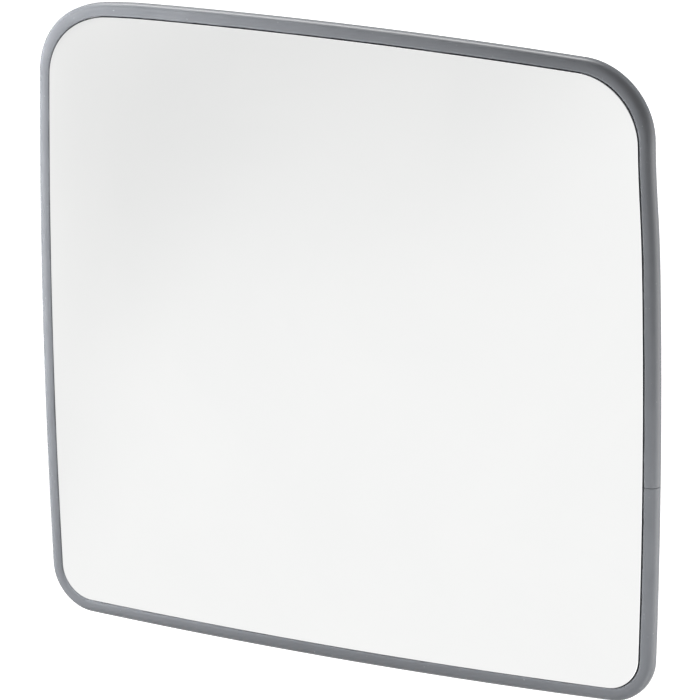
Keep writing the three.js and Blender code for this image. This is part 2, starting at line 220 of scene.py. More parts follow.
def hex_side(flats, y_low, y_high, n, low=True, high=True, chamfer=0.93):
    """Rings of a chamfered hexagon's side, from its face at y_low to its face at y_high."""
    R = hexagon(flats, n)
    rc = flats / 2 * chamfer
    drop = np.maximum(0, R - flats / 2 * 0.985) * math.tan(math.radians(30))
    rings = []
    s = 1 if y_high > y_low else -1
    rings.append((rc, y_low))
    if low:
        rings.append((flats / 2 * 0.985, y_low + s * 0.02))
        rings.append((R, y_low + s * (0.06 + drop)))
    else:
        rings.append((R, y_low + s * 0.05))
    if high:
        rings.append((R, y_high - s * (0.06 + drop)))
        rings.append((flats / 2 * 0.985, y_high - s * 0.02))
    else:
        rings.append((R, y_high - s * 0.05))
    rings.append((rc, y_high))
    return rings


def apply_modifiers(ob, sharp=35):
    dg = bpy.context.evaluated_depsgraph_get()
    m = bpy.data.meshes.new_from_object(ob.evaluated_get(dg))
    ob.modifiers.clear()
    old = ob.data
    ob.data = m
    if old.users == 0 and isinstance(old, bpy.types.Mesh):
        bpy.data.meshes.remove(old)
    finish_mesh(m, sharp)
    return ob


def weigh(ob):
    """Normals weighted by face area, so wide flats stay flat beside their rounded edges."""
    mod = ob.modifiers.new("normals", "WEIGHTED_NORMAL")
    mod.keep_sharp, mod.weight, mod.mode = True, 100, "FACE_AREA"
    dg = bpy.context.evaluated_depsgraph_get()
    m = bpy.data.meshes.new_from_object(ob.evaluated_get(dg))
    ob.modifiers.clear()
    old, ob.data = ob.data, m
    if old.users == 0:
        bpy.data.meshes.remove(old)
    return ob


def boolean(ob, cutters, operation="DIFFERENCE", sharp=35):
    for c in cutters:
        mod = ob.modifiers.new("cut", "BOOLEAN")
        mod.operation, mod.object, mod.solver = operation, c, "EXACT"
    apply_modifiers(ob, sharp)
    for c in cutters:
        bpy.data.objects.remove(c)
    return ob


def soften(ob, width, segments=2, angle=35, sharp=40):
    mod = ob.modifiers.new("bevel", "BEVEL")
    mod.width, mod.segments, mod.limit_method = width * MM, segments, "ANGLE"
    mod.angle_limit = math.radians(angle)
    mod.harden_normals = False
    apply_modifiers(ob, sharp)
    return ob


def plate(name, outer, holes, y1, y2, bevel=0.3, sharp=40):
    """A flat plate between y1 and y2, with edges rounded: outer and holes are loops of (x, z)."""
    cu = bpy.data.curves.new(name, "CURVE")
    cu.dimensions, cu.fill_mode = "2D", "BOTH"
    for loop in [outer] + holes:
        sp = cu.splines.new("POLY")
        sp.points.add(len(loop) - 1)
        for p, (x, z) in zip(sp.points, loop):
            p.co = (x * MM, z * MM, 0, 1)
        sp.use_cyclic_u = True
    cu.extrude = (abs(y2 - y1) / 2 - bevel) * MM
    cu.bevel_depth, cu.bevel_resolution, cu.offset = bevel * MM, 2, -bevel * MM
    tmp = bpy.data.objects.new(name + "_tmp", cu)
    scene.collection.objects.link(tmp)
    bpy.context.view_layer.update()
    m = bpy.data.meshes.new_from_object(tmp.evaluated_get(bpy.context.evaluated_depsgraph_get()))
    bpy.data.objects.remove(tmp)
    bpy.data.curves.remove(cu)
    m.transform(Matrix.Rotation(math.radians(90), 4, "X"))
    m.transform(Matrix.Translation((0, (y1 + y2) / 2 * MM, 0)))
    m.name = name
    finish_mesh(m, sharp)
    ob = bpy.data.objects.new(name, m)
    scene.collection.objects.link(ob)
    return ob


def circle(r, cx, cz, n=32):
    return [(cx + r * math.cos(TAU * i / n), cz + r * math.sin(TAU * i / n)) for i in range(n)]


def rounded_square(half, r, n=8):
    pts = []
    for k, (sx, sz) in enumerate([(1, -1), (1, 1), (-1, 1), (-1, -1)]):
        for i in range(n + 1):
            a = math.radians(-90 + 90 * k + 90 * i / n)
            pts.append((sx * (half - r) + r * math.cos(a), sz * (half - r) + r * math.sin(a)))
    return pts


def settle(ob, body, slot, *nodes):
    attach(ob, body)
    if nodes:
        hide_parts(*nodes)
    ob.data.materials.clear()
    ob.data.materials.append(MATS[slot])
    return ob


def wobble(t, seed, waves):
    """A smooth periodic variation over 0..1, from a few fixed waves: (count, size)."""
    rng = np.random.default_rng(seed)
    return sum(a * np.sin(TAU * (k * t + rng.random())) for k, a in waves)


# ---------------------------------------------------------------- materials
def new_material(name):
    m = bpy.data.materials.new(name)
    m.use_nodes = True
    nt = m.node_tree
    bsdf = next(n for n in nt.nodes if n.type == "BSDF_PRINCIPLED")
    return m, nt, bsdf


def add_node(nt, kind, **values):
    n = nt.nodes.new(kind)
    for k, v in values.items():
        if k in n.inputs:
            n.inputs[k].default_value = v
        else:
            setattr(n, k, v)
    return n


def coords(nt, which="Object", scale=(1, 1, 1)):
    tc = nt.nodes.new("ShaderNodeTexCoord")
    mp = nt.nodes.new("ShaderNodeMapping")
    mp.inputs["Scale"].default_value = scale
    nt.links.new(tc.outputs[which], mp.inputs["Vector"])
    return mp.outputs["Vector"]


def noise_tex(nt, vector, scale, detail=4.0, rough=0.55, distortion=0.0):
    n = add_node(nt, "ShaderNodeTexNoise", Scale=scale, Detail=detail, Roughness=rough, Distortion=distortion)
    nt.links.new(vector, n.inputs["Vector"])
    return n.outputs["Fac"]


def ramp(nt, fac, stops):
    r = nt.nodes.new("ShaderNodeValToRGB")
    e = r.color_ramp.elements
    while len(e) > len(stops):
        e.remove(e[-1])
    while len(e) < len(stops):
        e.new(0.5)
    for el, (p, c) in zip(e, stops):
        el.position = p
        el.color = (*c, 1) if len(c) == 3 else c
    nt.links.new(fac, r.inputs["Fac"])
    return r.outputs["Color"]


def remap(nt, fac, lo, hi, a=0.0, b=1.0):
    r = add_node(nt, "ShaderNodeMapRange")
    r.inputs["From Min"].default_value, r.inputs["From Max"].default_value = a, b
    r.inputs["To Min"].default_value, r.inputs["To Max"].default_value = lo, hi
    nt.links.new(fac, r.inputs["Value"])
    return r.outputs["Result"]


def bump(nt, bsdf, height, strength, distance, before=None):
    b = add_node(nt, "ShaderNodeBump", Strength=strength, Distance=distance)
    nt.links.new(height, b.inputs["Height"])
    if before is not None:
        nt.links.new(before, b.inputs["Normal"])
    nt.links.new(b.outputs["Normal"], bsdf.inputs["Normal"])
    return b.outputs["Normal"]


def maths(nt, op, a, b):
    n = nt.nodes.new("ShaderNodeMath")
    n.operation = op
    for i, v in enumerate((a, b)):
        if isinstance(v, (int, float)):
            n.inputs[i].default_value = v
        else:
            nt.links.new(v, n.inputs[i])
    return n.outputs[0]


MATS = {}


def mirror_material():
    m, nt, b = new_material("mirror_face")
    v = coords(nt)
    b.inputs["Metallic"].default_value = 1.0
    smear = noise_tex(nt, v, 9.0, 5.0, 0.6, 0.6)
    nt.links.new(ramp(nt, smear, [(0.35, (0.868, 0.872, 0.868)), (0.7, (0.882, 0.885, 0.880))]), b.inputs["Base Color"])
    haze = noise_tex(nt, coords(nt, "Object", (1, 1, 0.6)), 26.0, 6.0, 0.65, 0.8)
    nt.links.new(remap(nt, haze, 0.012, 0.045, 0.45, 0.75), b.inputs["Roughness"])
    wave = noise_tex(nt, v, 7.0, 1.0, 0.4)
    bump(nt, b, wave, 0.05, 0.0012)
    return m


def vinyl_material():
    m, nt, b = new_material("grey_vinyl")
    uv = coords(nt, "UV", (1, 1, 1))
    ob = coords(nt)
    lines = noise_tex(nt, coords(nt, "UV", (6.0, 2600.0, 1.0)), 1.0, 3.0, 0.6)
    blotch = noise_tex(nt, ob, 32.0, 4.0, 0.6, 0.3)
    mix = maths(nt, "ADD", maths(nt, "MULTIPLY", lines, 0.35), maths(nt, "MULTIPLY", blotch, 0.65))
    body_colour = ramp(nt, mix, [(0.3, VINYL[0]), (0.72, VINYL[1])])
    dust = ramp(nt, noise_tex(nt, ob, 620.0, 1.0, 0.3), [(0.775, (0, 0, 0)), (0.84, (1, 1, 1))])
    blend = nt.nodes.new("ShaderNodeMix")
    blend.data_type = "RGBA"
    nt.links.new(dust, blend.inputs["Factor"])
    nt.links.new(body_colour, blend.inputs[6])
    blend.inputs[7].default_value = (0.27, 0.28, 0.295, 1)
    # the lip's first two millimetres are painted paler: painted light, standing in for the light the mirror throws back
    # onto the lip
    split = nt.nodes.new("ShaderNodeSeparateXYZ")
    nt.links.new(uv, split.inputs[0])
    painted_lip_light = add_node(nt, "ShaderNodeMapRange")
    nt.links.new(split.outputs[1], painted_lip_light.inputs["Value"])
    for name, value in (("From Min", 0.0004), ("From Max", 0.0030), ("To Min", 1.5), ("To Max", 1.0)):
        painted_lip_light.inputs[name].default_value = value
    # painted light: the base colour is raised by up to half again towards the lip's edge
    painted_lip_lift = nt.nodes.new("ShaderNodeVectorMath")
    painted_lip_lift.operation = "SCALE"
    nt.links.new(blend.outputs[2], painted_lip_lift.inputs[0])
    nt.links.new(painted_lip_light.outputs["Result"], painted_lip_lift.inputs["Scale"])
    nt.links.new(painted_lip_lift.outputs[0], b.inputs["Base Color"])
    nt.links.new(remap(nt, blotch, 0.12, 0.24, 0.3, 0.75), b.inputs["Roughness"])
    b.inputs["IOR"].default_value = 1.54
    b.inputs["Specular IOR Level"].default_value = 0.4
    fine = noise_tex(nt, ob, 900.0, 2.0, 0.5)
    n1 = bump(nt, b, lines, 0.10, 0.00012)
    bump(nt, b, fine, 0.05, 0.00006, n1)
    return m


def hardboard_material():
    m, nt, b = new_material("hardboard")
    v = coords(nt)
    fibre = noise_tex(nt, coords(nt, "Object", (1.0, 1.0, 1.0)), 420.0, 6.0, 0.7, 1.4)
    patch = noise_tex(nt, v, 14.0, 4.0, 0.6)
    mix = maths(nt, "ADD", maths(nt, "MULTIPLY", fibre, 0.55), maths(nt, "MULTIPLY", patch, 0.45))
    nt.links.new(ramp(nt, mix, [(0.25, (0.062, 0.031, 0.016)), (0.5, (0.110, 0.057, 0.030)), (0.78, (0.175, 0.098, 0.055))]),
                 b.inputs["Base Color"])
    nt.links.new(remap(nt, patch, 0.62, 0.85, 0.3, 0.7), b.inputs["Roughness"])
    b.inputs["Specular IOR Level"].default_value = 0.22

    def wave(direction):
        w = add_node(nt, "ShaderNodeTexWave", Scale=300.0, Distortion=0.6, Detail=1.0)
        w.wave_type, w.bands_direction, w.wave_profile = "BANDS", direction, "SIN"
        nt.links.new(v, w.inputs["Vector"])
        return w.outputs["Fac"]
    screen = maths(nt, "MULTIPLY", wave("X"), wave("Z"))
    n1 = bump(nt, b, screen, 0.7, 0.0005)
    bump(nt, b, fibre, 0.35, 0.0002, n1)
    return m


def metal_material(name, dark, light, rough, bump_scale=1400.0, strength=0.12, metallic=1.0, streak=None):
    m, nt, b = new_material(name)
    v = coords(nt)
    b.inputs["Metallic"].default_value = metallic
    f = noise_tex(nt, v, 160.0, 5.0, 0.6, 0.4)
    nt.links.new(ramp(nt, f, [(0.32, dark), (0.7, light)]), b.inputs["Base Color"])
    g = noise_tex(nt, coords(nt, "Object", streak or (1, 1, 1)), 240.0, 6.0, 0.65)
    nt.links.new(remap(nt, g, rough[0], rough[1], 0.3, 0.72), b.inputs["Roughness"])
    bump(nt, b, noise_tex(nt, v, bump_scale, 2.0, 0.5), strength, 0.0001)
    return m


def coat_material(name, dark, light, rough, scale, strength, distance=0.00025):
    m, nt, b = new_material(name)
    v = coords(nt)
    f = noise_tex(nt, v, 60.0, 4.0, 0.6)
    nt.links.new(ramp(nt, f, [(0.3, dark), (0.72, light)]), b.inputs["Base Color"])
    nt.links.new(remap(nt, noise_tex(nt, v, 110.0, 3.0, 0.5), rough[0], rough[1], 0.3, 0.7), b.inputs["Roughness"])
    b.inputs["Specular IOR Level"].default_value = 0.36
    n1 = bump(nt, b, noise_tex(nt, v, scale, 2.0, 0.45), strength, distance)
    bump(nt, b, noise_tex(nt, v, scale * 3.1, 2.0, 0.5), strength * 0.35, distance * 0.4, n1)
    return m


VINYL = [(0.124, 0.1305, 0.1425), (0.146, 0.153, 0.1655)]
MATS["mirror_face"] = mirror_material()
MATS["grey_vinyl"] = vinyl_material()
MATS["hardboard"] = hardboard_material()
MATS["zinc"] = metal_material("zinc", (0.50, 0.52, 0.53), (0.66, 0.67, 0.665), (0.24, 0.42))
MATS["ball_steel"] = metal_material("ball_steel", (0.60, 0.61, 0.62), (0.70, 0.71, 0.72), (0.09, 0.2), 2600.0, 0.04, 1.0, (1, 9, 1))
MATS["cast_black"] = coat_material("cast_black", (0.010, 0.0105, 0.0115), (0.020, 0.021, 0.023), (0.40, 0.62), 620.0, 0.4)
MATS["black_coat"] = coat_material("black_coat", (0.008, 0.0084, 0.009), (0.015, 0.0155, 0.0165), (0.28, 0.46), 900.0, 0.32)


def nylon_material():
    m, nt, b = new_material("nylon")
    v = coords(nt)
    nt.links.new(ramp(nt, noise_tex(nt, v, 90.0, 4.0, 0.6), [(0.3, (0.60, 0.585, 0.53)), (0.7, (0.70, 0.69, 0.64))]), b.inputs["Base Color"])
    nt.links.new(remap(nt, noise_tex(nt, v, 200.0, 3.0), 0.34, 0.5, 0.3, 0.7), b.inputs["Roughness"])
    b.inputs["Subsurface Weight"].default_value = 0.12
    b.inputs["Subsurface Radius"].default_value = (0.002, 0.0018, 0.0014)
    bump(nt, b, noise_tex(nt, v, 1500.0, 2.0), 0.08, 0.0001)
    return m


MATS["nylon"] = nylon_material()


# -------------------------------------------------------------- mirror sheet
def membrane(spokes, rings, plan):
    """Heights of a membrane under even pressure over the rings, 0 on the last one, by conjugate gradients."""
    def node(i, k):
        return np.where(i == 0, 0, 1 + (i - 1) * spokes + k % spokes)
    pts = np.zeros((1 + rings * spokes, 2))
    pts[1:] = plan[1:].reshape(-1, 2)
    i, k = np.meshgrid(np.arange(rings), np.arange(spokes), indexing="ij")
    q = [node(i, k), node(i + 1, k), node(i + 1, k + 1), node(i, k + 1)]
    tris = []
    for a, b, c in ((0, 1, 2), (0, 2, 3), (0, 1, 3), (1, 2, 3)):
        tris.append(np.stack([q[a].ravel(), q[b].ravel(), q[c].ravel()], 1))
    t = np.concatenate(tris)
    A, B, C = pts[t[:, 0]], pts[t[:, 1]], pts[t[:, 2]]
    twice = np.abs((B[:, 0] - A[:, 0]) * (C[:, 1] - A[:, 1]) - (B[:, 1] - A[:, 1]) * (C[:, 0] - A[:, 0]))
    t, twice = t[twice > 1e-7], twice[twice > 1e-7]
    rows, cols, vals = [], [], []
    load = np.zeros(len(pts))
    for s in range(3):
        a, b, c = t[:, s], t[:, (s + 1) % 3], t[:, (s + 2) % 3]
        cot = ((pts[b] - pts[a]) * (pts[c] - pts[a])).sum(1) / twice
        rows += [b, c]
        cols += [c, b]
        vals += [cot / 4, cot / 4]
        load += np.bincount(a, twice / 12, len(pts))
    rows, cols, vals = map(np.concatenate, (rows, cols, vals))
    diag = np.bincount(rows, vals, len(pts))
    free = 1 + (rings - 1) * spokes
    inner = (rows < free) & (cols < free)
    r_, c_, v_ = rows[inner], cols[inner], vals[inner]
    diag, load = diag[:free], load[:free]
    def times(x):
        return diag * x - np.bincount(r_, v_ * x[c_], free)
    x = np.zeros(free)
    r = load - times(x)
    z = r / diag
    p = z.copy()
    rz = r @ z
    for _ in range(2500):
        Ap = times(p)
        alpha = rz / (p @ Ap)
        x += alpha * p
        r -= alpha * Ap
        if np.abs(r).max() < 1e-9 * np.abs(load).max():
            break
        z = r / diag
        rz, old = r @ z, rz
        p = z + rz / old * p
    h = np.zeros(len(pts))
    h[:free] = x
    return h[0], np.concatenate([np.full((1, spokes), h[0]), h[1:].reshape(rings, spokes)])


def mirror_sheet():
    keys = outline_keys(22, 34)
    n = len(keys)
    rings = 36
    rim = np.array([outline_point(k, FACE_INSET) for k in keys])
    share = np.linspace(0, 1, rings + 1)
    share = 1 - (1 - share) ** 1.25
    a = np.arctan2(rim[:, 1] / HH, rim[:, 0] / HW)
    ell = np.stack([(HW - FACE_INSET + BOW_X) * np.cos(a), (HH - FACE_INSET + BOW_Z) * np.sin(a)], 1)
    w = (share ** 2)[:, None, None]
    plan = share[:, None, None] * (w * rim[None] + (1 - w) * ell[None])
    top, h = membrane(n, rings, plan)
    rise = DOME * h / top
    verts, rows = [], []

    def add_row(points, ys):
        base = len(verts)
        verts.extend((p[0], y, p[1]) for p, y in zip(points, ys))
        rows.append(list(range(base, base + n)))

    verts.append((0.0, BALL_Y - (LENS_FRONT + STEP + DOME), 0.0))
    rows.append([0] * n)
    for i in range(1, rings + 1):
        add_row(plan[i], BALL_Y - (LENS_FRONT + STEP + rise[i]))
    front = BALL_Y - LENS_FRONT
    for inset, up in ((9.45, 2.36), (9.33, 2.26), (9.23, 2.10), (9.17, 1.9), (9.13, 1.6), (9.1, 0.45), (9.04, 0.16), (8.9, 0.02), (8.6, 0.0), (3.1, 0.0)):
        add_row([outline_point(k, inset) for k in keys], [front - up] * n)
    add_row([outline_point(k, SHEET_INSET) for k in keys], [front + 0.3] * n)
    back = BALL_Y - LENS_BACK
    add_row([outline_point(k, SHEET_INSET) for k in keys], [back - 0.3] * n)
    add_row([outline_point(k, SHEET_INSET + 0.4) for k in keys], [back] * n)
    add_row([outline_point(k, HOLLOW_INSET - 0.8) for k in keys], [back] * n)
    add_row([outline_point(k, HOLLOW_INSET - 0.4) for k in keys], [back - 0.2] * n)
    add_row([outline_point(k, HOLLOW_INSET) for k in keys], [back - STEP] * n)
    for i in range(rings - 1, 0, -1):
        if share[i] > 0.975:
            continue
        add_row(plan[i], BALL_Y - (LENS_FRONT + STEP - LENS_T + rise[i]))
    verts.append((0.0, BALL_Y - (LENS_FRONT + STEP - LENS_T + DOME), 0.0))
    rows.append([len(verts) - 1] * n)
    faces = []
    for r1, r2 in zip(rows, rows[1:]):
        for i in range(n):
            j = (i + 1) % n
            f = [r1[i], r1[j], r2[j], r2[i]]
            f = [v for k, v in enumerate(f) if v not in f[:k]]
            if len(f) > 2:
                faces.append(f)
    return make("mirror_sheet", verts, faces, 50)


settle(mirror_sheet(), "mirror_head", "mirror_face", "mirror_lens")


# ----------------------------------------------------------------- edge trim
def trim_profile(lip, crown):
    """The channel's section as (inset, distance in front of its middle plane), front lip to back lip."""
    h = 5.5
    pts = []
    front = []
    # the lip's edge, then its face rolling up to the crown
    front += [(lip - 0.02, 3.42), (lip, 3.6), (lip, 3.85)]
    for a in (80, 70, 60, 50, 40, 30, 20, 10):
        s = math.radians(a)
        front.append((4.75 + (lip - 4.75) * math.sin(s), h - 1.42 * (1 - math.cos(s)) + crown * math.cos(s)))
    for a in range(4, 91, 8):
        t = math.radians(a)
        front.append((4.75 - 4.75 * math.sin(t), h - 4.75 + 4.75 * math.cos(t) + crown * math.cos(t)))
    front.append((0.0, 0.35))
    back = [(d, -y) for d, y in reversed(front)]
    pts = front + back
    slot = [(lip - 0.05, -3.4), (3.0, -3.4), (2.6, -3.3), (2.4, -3.0), (2.4, 3.0), (2.6, 3.3), (3.0, 3.4), (lip - 0.05, 3.4)]
    return pts + slot


def edge_trim():
    keys = outline_keys(40, 120, seam=True)
    n = len(keys)
    xy = np.array([outline_point(k, 0.0) for k in keys])
    hair = 0.012
    run = np.concatenate([[0], np.cumsum(np.hypot(*np.diff(xy, axis=0).T))])
    t = run / run[-1]
    lip = TRIM_W + 0.10 + wobble(t, 3, [(17, 0.05), (29, 0.06), (43, 0.05), (61, 0.05), (97, 0.03)])
    crown = wobble(t, 8, [(9, 0.010), (23, 0.008), (51, 0.005)]) - 0.03
    verts, uv = [], []
    m = None
    for i, key in enumerate(keys):
        prof = trim_profile(lip[i], crown[i])
        m = len(prof)
        along = 0.0
        last = prof[0]
        tuck = 0.05 if i in (0, n - 1) else 0.0
        for j, (d, y) in enumerate(prof):
            along += math.hypot(d - last[0], y - last[1])
            last = (d, y)
            outer = tuck if j < m - 8 else 0.0
            dd = d + (outer if d < 4 else 0)
            yy = y - math.copysign(outer, y) if abs(y) > 3.5 else y
            x, z = outline_point(key, max(dd, hair))
            verts.append((x, MID_Y - yy, z))
            uv.append((run[i] * MM, along * MM))
    faces = []
    for i in range(n - 1):
        for j in range(m):
            k = (j + 1) % m
            faces.append([i * m + j, i * m + k, (i + 1) * m + k, (i + 1) * m + j])
    faces.append([j for j in range(m)])
    faces.append([(n - 1) * m + j for j in range(m)])
    return make("trim_channel", verts, faces, 40, uv)


settle(edge_trim(), "mirror_head", "grey_vinyl", "edge_trim")

# ------------------------------------------------------ back board and plate
BOLTS = [(x, z) for z in (30, -30) for x in (-30, 30)]
keys = outline_keys(16, 24)
board = plate("backing_board", [outline_point(k, SHEET_INSET) for k in keys], [circle(3.4, x, z) for x, z in BOLTS],
              BALL_Y - 24.2, BALL_Y - 21.2, 0.25)
settle(weigh(board), "mirror_head", "hardboard", "back_board")
spread = plate("spreader", rounded_square(42, 9), [circle(3.4, x, z) for x, z in BOLTS], BALL_Y - 26.4, BALL_Y - 24.4, 0.3)
settle(weigh(spread), "mirror_head", "zinc", "spreader_plate")

# ------------------------------------------------------- bolts, washers, nuts
for i, (x, z) in enumerate(BOLTS, 1):
    n = 60
    y_head, y_under, y_end = BALL_Y - 30.5, BALL_Y - 26.5, BALL_Y - 7.5
    rings = [(0, y_head + 0.25), (2.6, y_head + 0.25), (3.0, y_head)]
    rings += hex_side(10, y_head, y_under, n, low=True, high=False)
    rings += [(3.05, y_under), (2.9, y_under + 0.2), (2.9, BALL_Y - 19.5)]
    rings += thread(2.45, 2.9, BALL_Y - 18.5, y_end - 0.7, 1.0, n)
    rings += [(2.3, y_end - 0.35), (2.0, y_end), (0, y_end)]
    settle(stack(f"bolt_{i}", rings, n, (x, z)), "mirror_head", "zinc", f"mount_bolt_{i}")
    y1, y2 = BALL_Y - 16.9, BALL_Y - 15.3
    ring = rounded([(3.3, y1), (6.0, y1), (6.0, y2), (3.3, y2)], 0.25, closed=True)
    settle(stack(f"washer_{i}", ring, 48, (x, z), closed=True), "mirror_head", "zinc", f"mount_washer_{i}")
    y1, y2 = BALL_Y - 15.2, BALL_Y - 10.2
    ring = [(3.45, y1)] + hex_side(10, y1, y2, n) + [(3.55, y2), (3.15, y2 - 0.45)]
    inner = thread(3.15, 3.02, y2 - 0.5, y1 + 0.5, 1.0, n)
    settle(stack(f"nut_{i}", ring + inner + [(3.15, y1 + 0.4)], n, (x, z), closed=True), "mirror_head", "zinc", f"mount_nut_{i}")

# ---------------------------------------------------------------- ball socket
SPOTS = [(25 * math.cos(math.radians(a)), 25 * math.sin(math.radians(a))) for a in (90, 210, 330)]
body = plate("socket_casting", rounded_square(42, 9), [], BALL_Y - 21, BALL_Y - 17, 0.6)
boss = stack("boss", rounded([(0, BALL_Y - 20.5), (33.6, BALL_Y - 20.5), (33.6, BALL_Y - 17.3), (31.6, BALL_Y - 16.6),
                              (30.4, BALL_Y - 14.2), (30.0, BALL_Y - 11), (29.7, BALL_Y - 0.9), (29.2, BALL_Y - 0.4),
                              (0, BALL_Y - 0.4)], 0.5), 96)
boolean(body, [boss], "UNION")
hollow = stack("hollow", shift(arc(18.0, 0, 90, 3), BALL_Y) + [(18.6, BALL_Y + 0.4), (18.6, BALL_Y + 4), (0, BALL_Y + 4)], 96)
cutters = [hollow]
for x, z in SPOTS:
    cutters.append(stack("c", [(0, BALL_Y - 14), (2.2, BALL_Y - 14), (2.2, BALL_Y - 0.9), (2.9, BALL_Y - 0.2), (2.9, BALL_Y + 3), (0, BALL_Y + 3)], 28, (x, z)))
for x, z in BOLTS:
    cutters.append(stack("c", [(0, BALL_Y - 24), (3.4, BALL_Y - 24), (3.4, BALL_Y - 17.3), (3.8, BALL_Y - 16.9), (3.8, BALL_Y - 12), (0, BALL_Y - 12)], 32, (x, z)))
boolean(body, cutters)
settle(weigh(body), "mirror_head", "cast_black", "socket_body")

mouth = 18 * math.sin(math.radians(60))
lip = 18 * math.cos(math.radians(60))
inner = arc(18.0, 120, 91.5, 3)
prof = [(29.2, 0.4), (29.7, 0.9), (30, 10.4)] + [(29.85, 11.3), (29.3, 12.1), (28.5, 12.5)] + \
       [(mouth + 2.6, 12.5), (mouth + 2.1, 12.3), (mouth + 0.15, lip + 0.35)] + inner + [(inner[-1][0] + 0.3, 0.4)]
ring = stack("clamp_ring_casting", shift(prof, BALL_Y), 96, closed=True)
cutters = []
for x, z in SPOTS:
    cutters.append(stack("c", [(0, BALL_Y - 2), (2.4, BALL_Y - 2), (2.4, BALL_Y + 12.1), (2.8, BALL_Y + 12.6), (2.8, BALL_Y + 15), (0, BALL_Y + 15)], 28, (x, z)))
# twelve shallow flutes round the rim
for k in range(12):
    a = math.radians(15 + 30 * k)
    cutters.append(stack("c", rounded([(0, BALL_Y + 3.4), (2.2, BALL_Y + 3.4), (2.2, BALL_Y + 16), (0, BALL_Y + 16)], 1.0), 24,
                         (31.3 * math.cos(a), 31.3 * math.sin(a))))
boolean(ring, cutters)
settle(weigh(ring), "mirror_head", "cast_black", "clamp_ring")

for i, (x, z) in enumerate(SPOTS, 1):
    n = 120
    th = np.arange(n)
    knurl = 3.5 - 0.11 * (th % 4 >= 2)
    top = BALL_Y + 16.6
    socket = hexagon(3, n)
    rings = [(0, BALL_Y + 14.45), (socket * 0.93, BALL_Y + 14.45), (socket, BALL_Y + 14.6), (socket, top - 0.25),
             (socket * 1.08 + 0.1, top), (3.0, top), (3.3, top - 0.12), (3.39, top - 0.35), (knurl, top - 0.6),
             (knurl, BALL_Y + 13.1), (3.38, BALL_Y + 12.85), (3.3, BALL_Y + 12.6), (2.05, BALL_Y + 12.6), (2.0, BALL_Y + 12.3), (2.0, BALL_Y + 4)]
    rings += thread(1.75, 2.0, BALL_Y + 3, BALL_Y - 10.3, 0.7, n, 6)
    rings += [(1.5, BALL_Y - 11), (0, BALL_Y - 11)]
    settle(stack(f"cap_screw_{i}", rings, n, (x, z)), "mirror_head", "zinc", f"clamp_screw_{i}")

# --------------------------------------------------------------------- liner
front = arc(17.6, 0, 88.6, 3) + [(17.3, -0.15), (15.7, -0.15)] + arc(15.4, 88.6, 0, 3)
settle(stack("liner_cup_front", shift([(0, -17.6)] + front[1:-1] + [(0, -15.4)], BALL_Y), 96), "liner", "nylon", "liner_front")
rear = [(15.7, 0.32), (17.3, 0.32)] + arc(17.6, 91.4, 129.6, 3) + arc(15.4, 129.6, 91.4, 3)
settle(stack("liner_cup_rear", shift(rear, BALL_Y), 96, closed=True), "liner", "nylon", "liner_rear")

# ----------------------------------------------------------------------- arm
n = 96
start = math.degrees(math.asin(5.5 / 15))
prof = [(0, -15.0)] + arc(15.0, 0, 180 - start - 3, 3)[1:]
rings = shift(prof, BALL_Y)
rings += shift([(5.75, 14.3), (5.5, 14.9), (5.5, 15.6), (5.5, 26.4), (5.7, 27.4), (6.5, 28.4), (7.4, 28.9)], BALL_Y)
rings += hex_side(17, BALL_Y + 29, BALL_Y + 34, n)
rings += shift([(7.3, 34.1), (7.0, 34.5), (5.3, 34.9), (5.05, 35.2)], BALL_Y)
rings += thread(5.0, 5.6, BALL_Y + 35.3, BALL_Y + 57.6, 1.5, n, 10)
rings += shift([(4.7, 58.3), (4.2, 59), (0, 59)], BALL_Y)
settle(stack("ball_and_stud", rings, n), "arm", "ball_steel", "ball_stud")
ring = [(6.5, BALL_Y + 36.6)] + hex_side(18, BALL_Y + 36.6, BALL_Y + 43, n) + [(6.6, BALL_Y + 43), (6.0, BALL_Y + 42.4)]
inner = thread(6.0, 5.75, BALL_Y + 42.3, BALL_Y + 37.3, 1.5, n, 10)
settle(stack("lock_nut", ring + inner + [(6.05, BALL_Y + 37.1)], n, closed=True), "arm", "zinc", "jam_nut")
ring = rounded(shift([(5.95, 43.2), (ARM_R, 43.2), (ARM_R, 45.3), (9.2, 45.3), (9.2, 63), (5.95, 63)], BALL_Y), 0.35, closed=True)
settle(stack("plug", ring, 64, closed=True), "arm", "zinc", "arm_plug")
y1, y2 = BALL_Y + 45.5, -3.3
ring = rounded([(9.5, y1), (ARM_R, y1), (ARM_R, y2), (9.5, y2)], 0.45, closed=True)
long = []
for a, b in zip(ring, ring[1:] + ring[:1]):
    long.append(a)
    if abs(a[1] - b[1]) > 50:
        long += [(a[0], a[1] + (b[1] - a[1]) * k / 24) for k in range(1, 24)]
settle(stack("arm", long, 72, closed=True), "arm", "black_coat", "arm_tube")

# ------------------------------------------------------------- wall bracket
wall = plate("mounting_plate", rounded_square(50, 9), [circle(3.25, x, z) for x in (-36, 36) for z in (-36, 36)], -3, -0.001, 0.45)
settle(weigh(wall), "bracket", "black_coat", "wall_plate")
ring = rounded([(11.35, -33), (15.0, -33), (16, -32), (16, -3.1), (11.35, -3.1)], 0.5, closed=True)
collar = stack("collar", ring, 96, closed=True)
tap = stack("c", [(0, -9), (3.9, -9), (3.2, -9.9), (3.2, -30), (0, -30)], 32)
tap.data.transform(Matrix.Translation((0, 0, 0)))


def point_down(ob, y, z):
    """Turns a piece made along Y about the origin so that its +Y points down -Z, and moves it."""
    ob.data.transform(Matrix.Rotation(math.radians(-90), 4, "X"))
    ob.data.transform(Matrix.Translation((0, y * MM, z * MM)))
    return ob


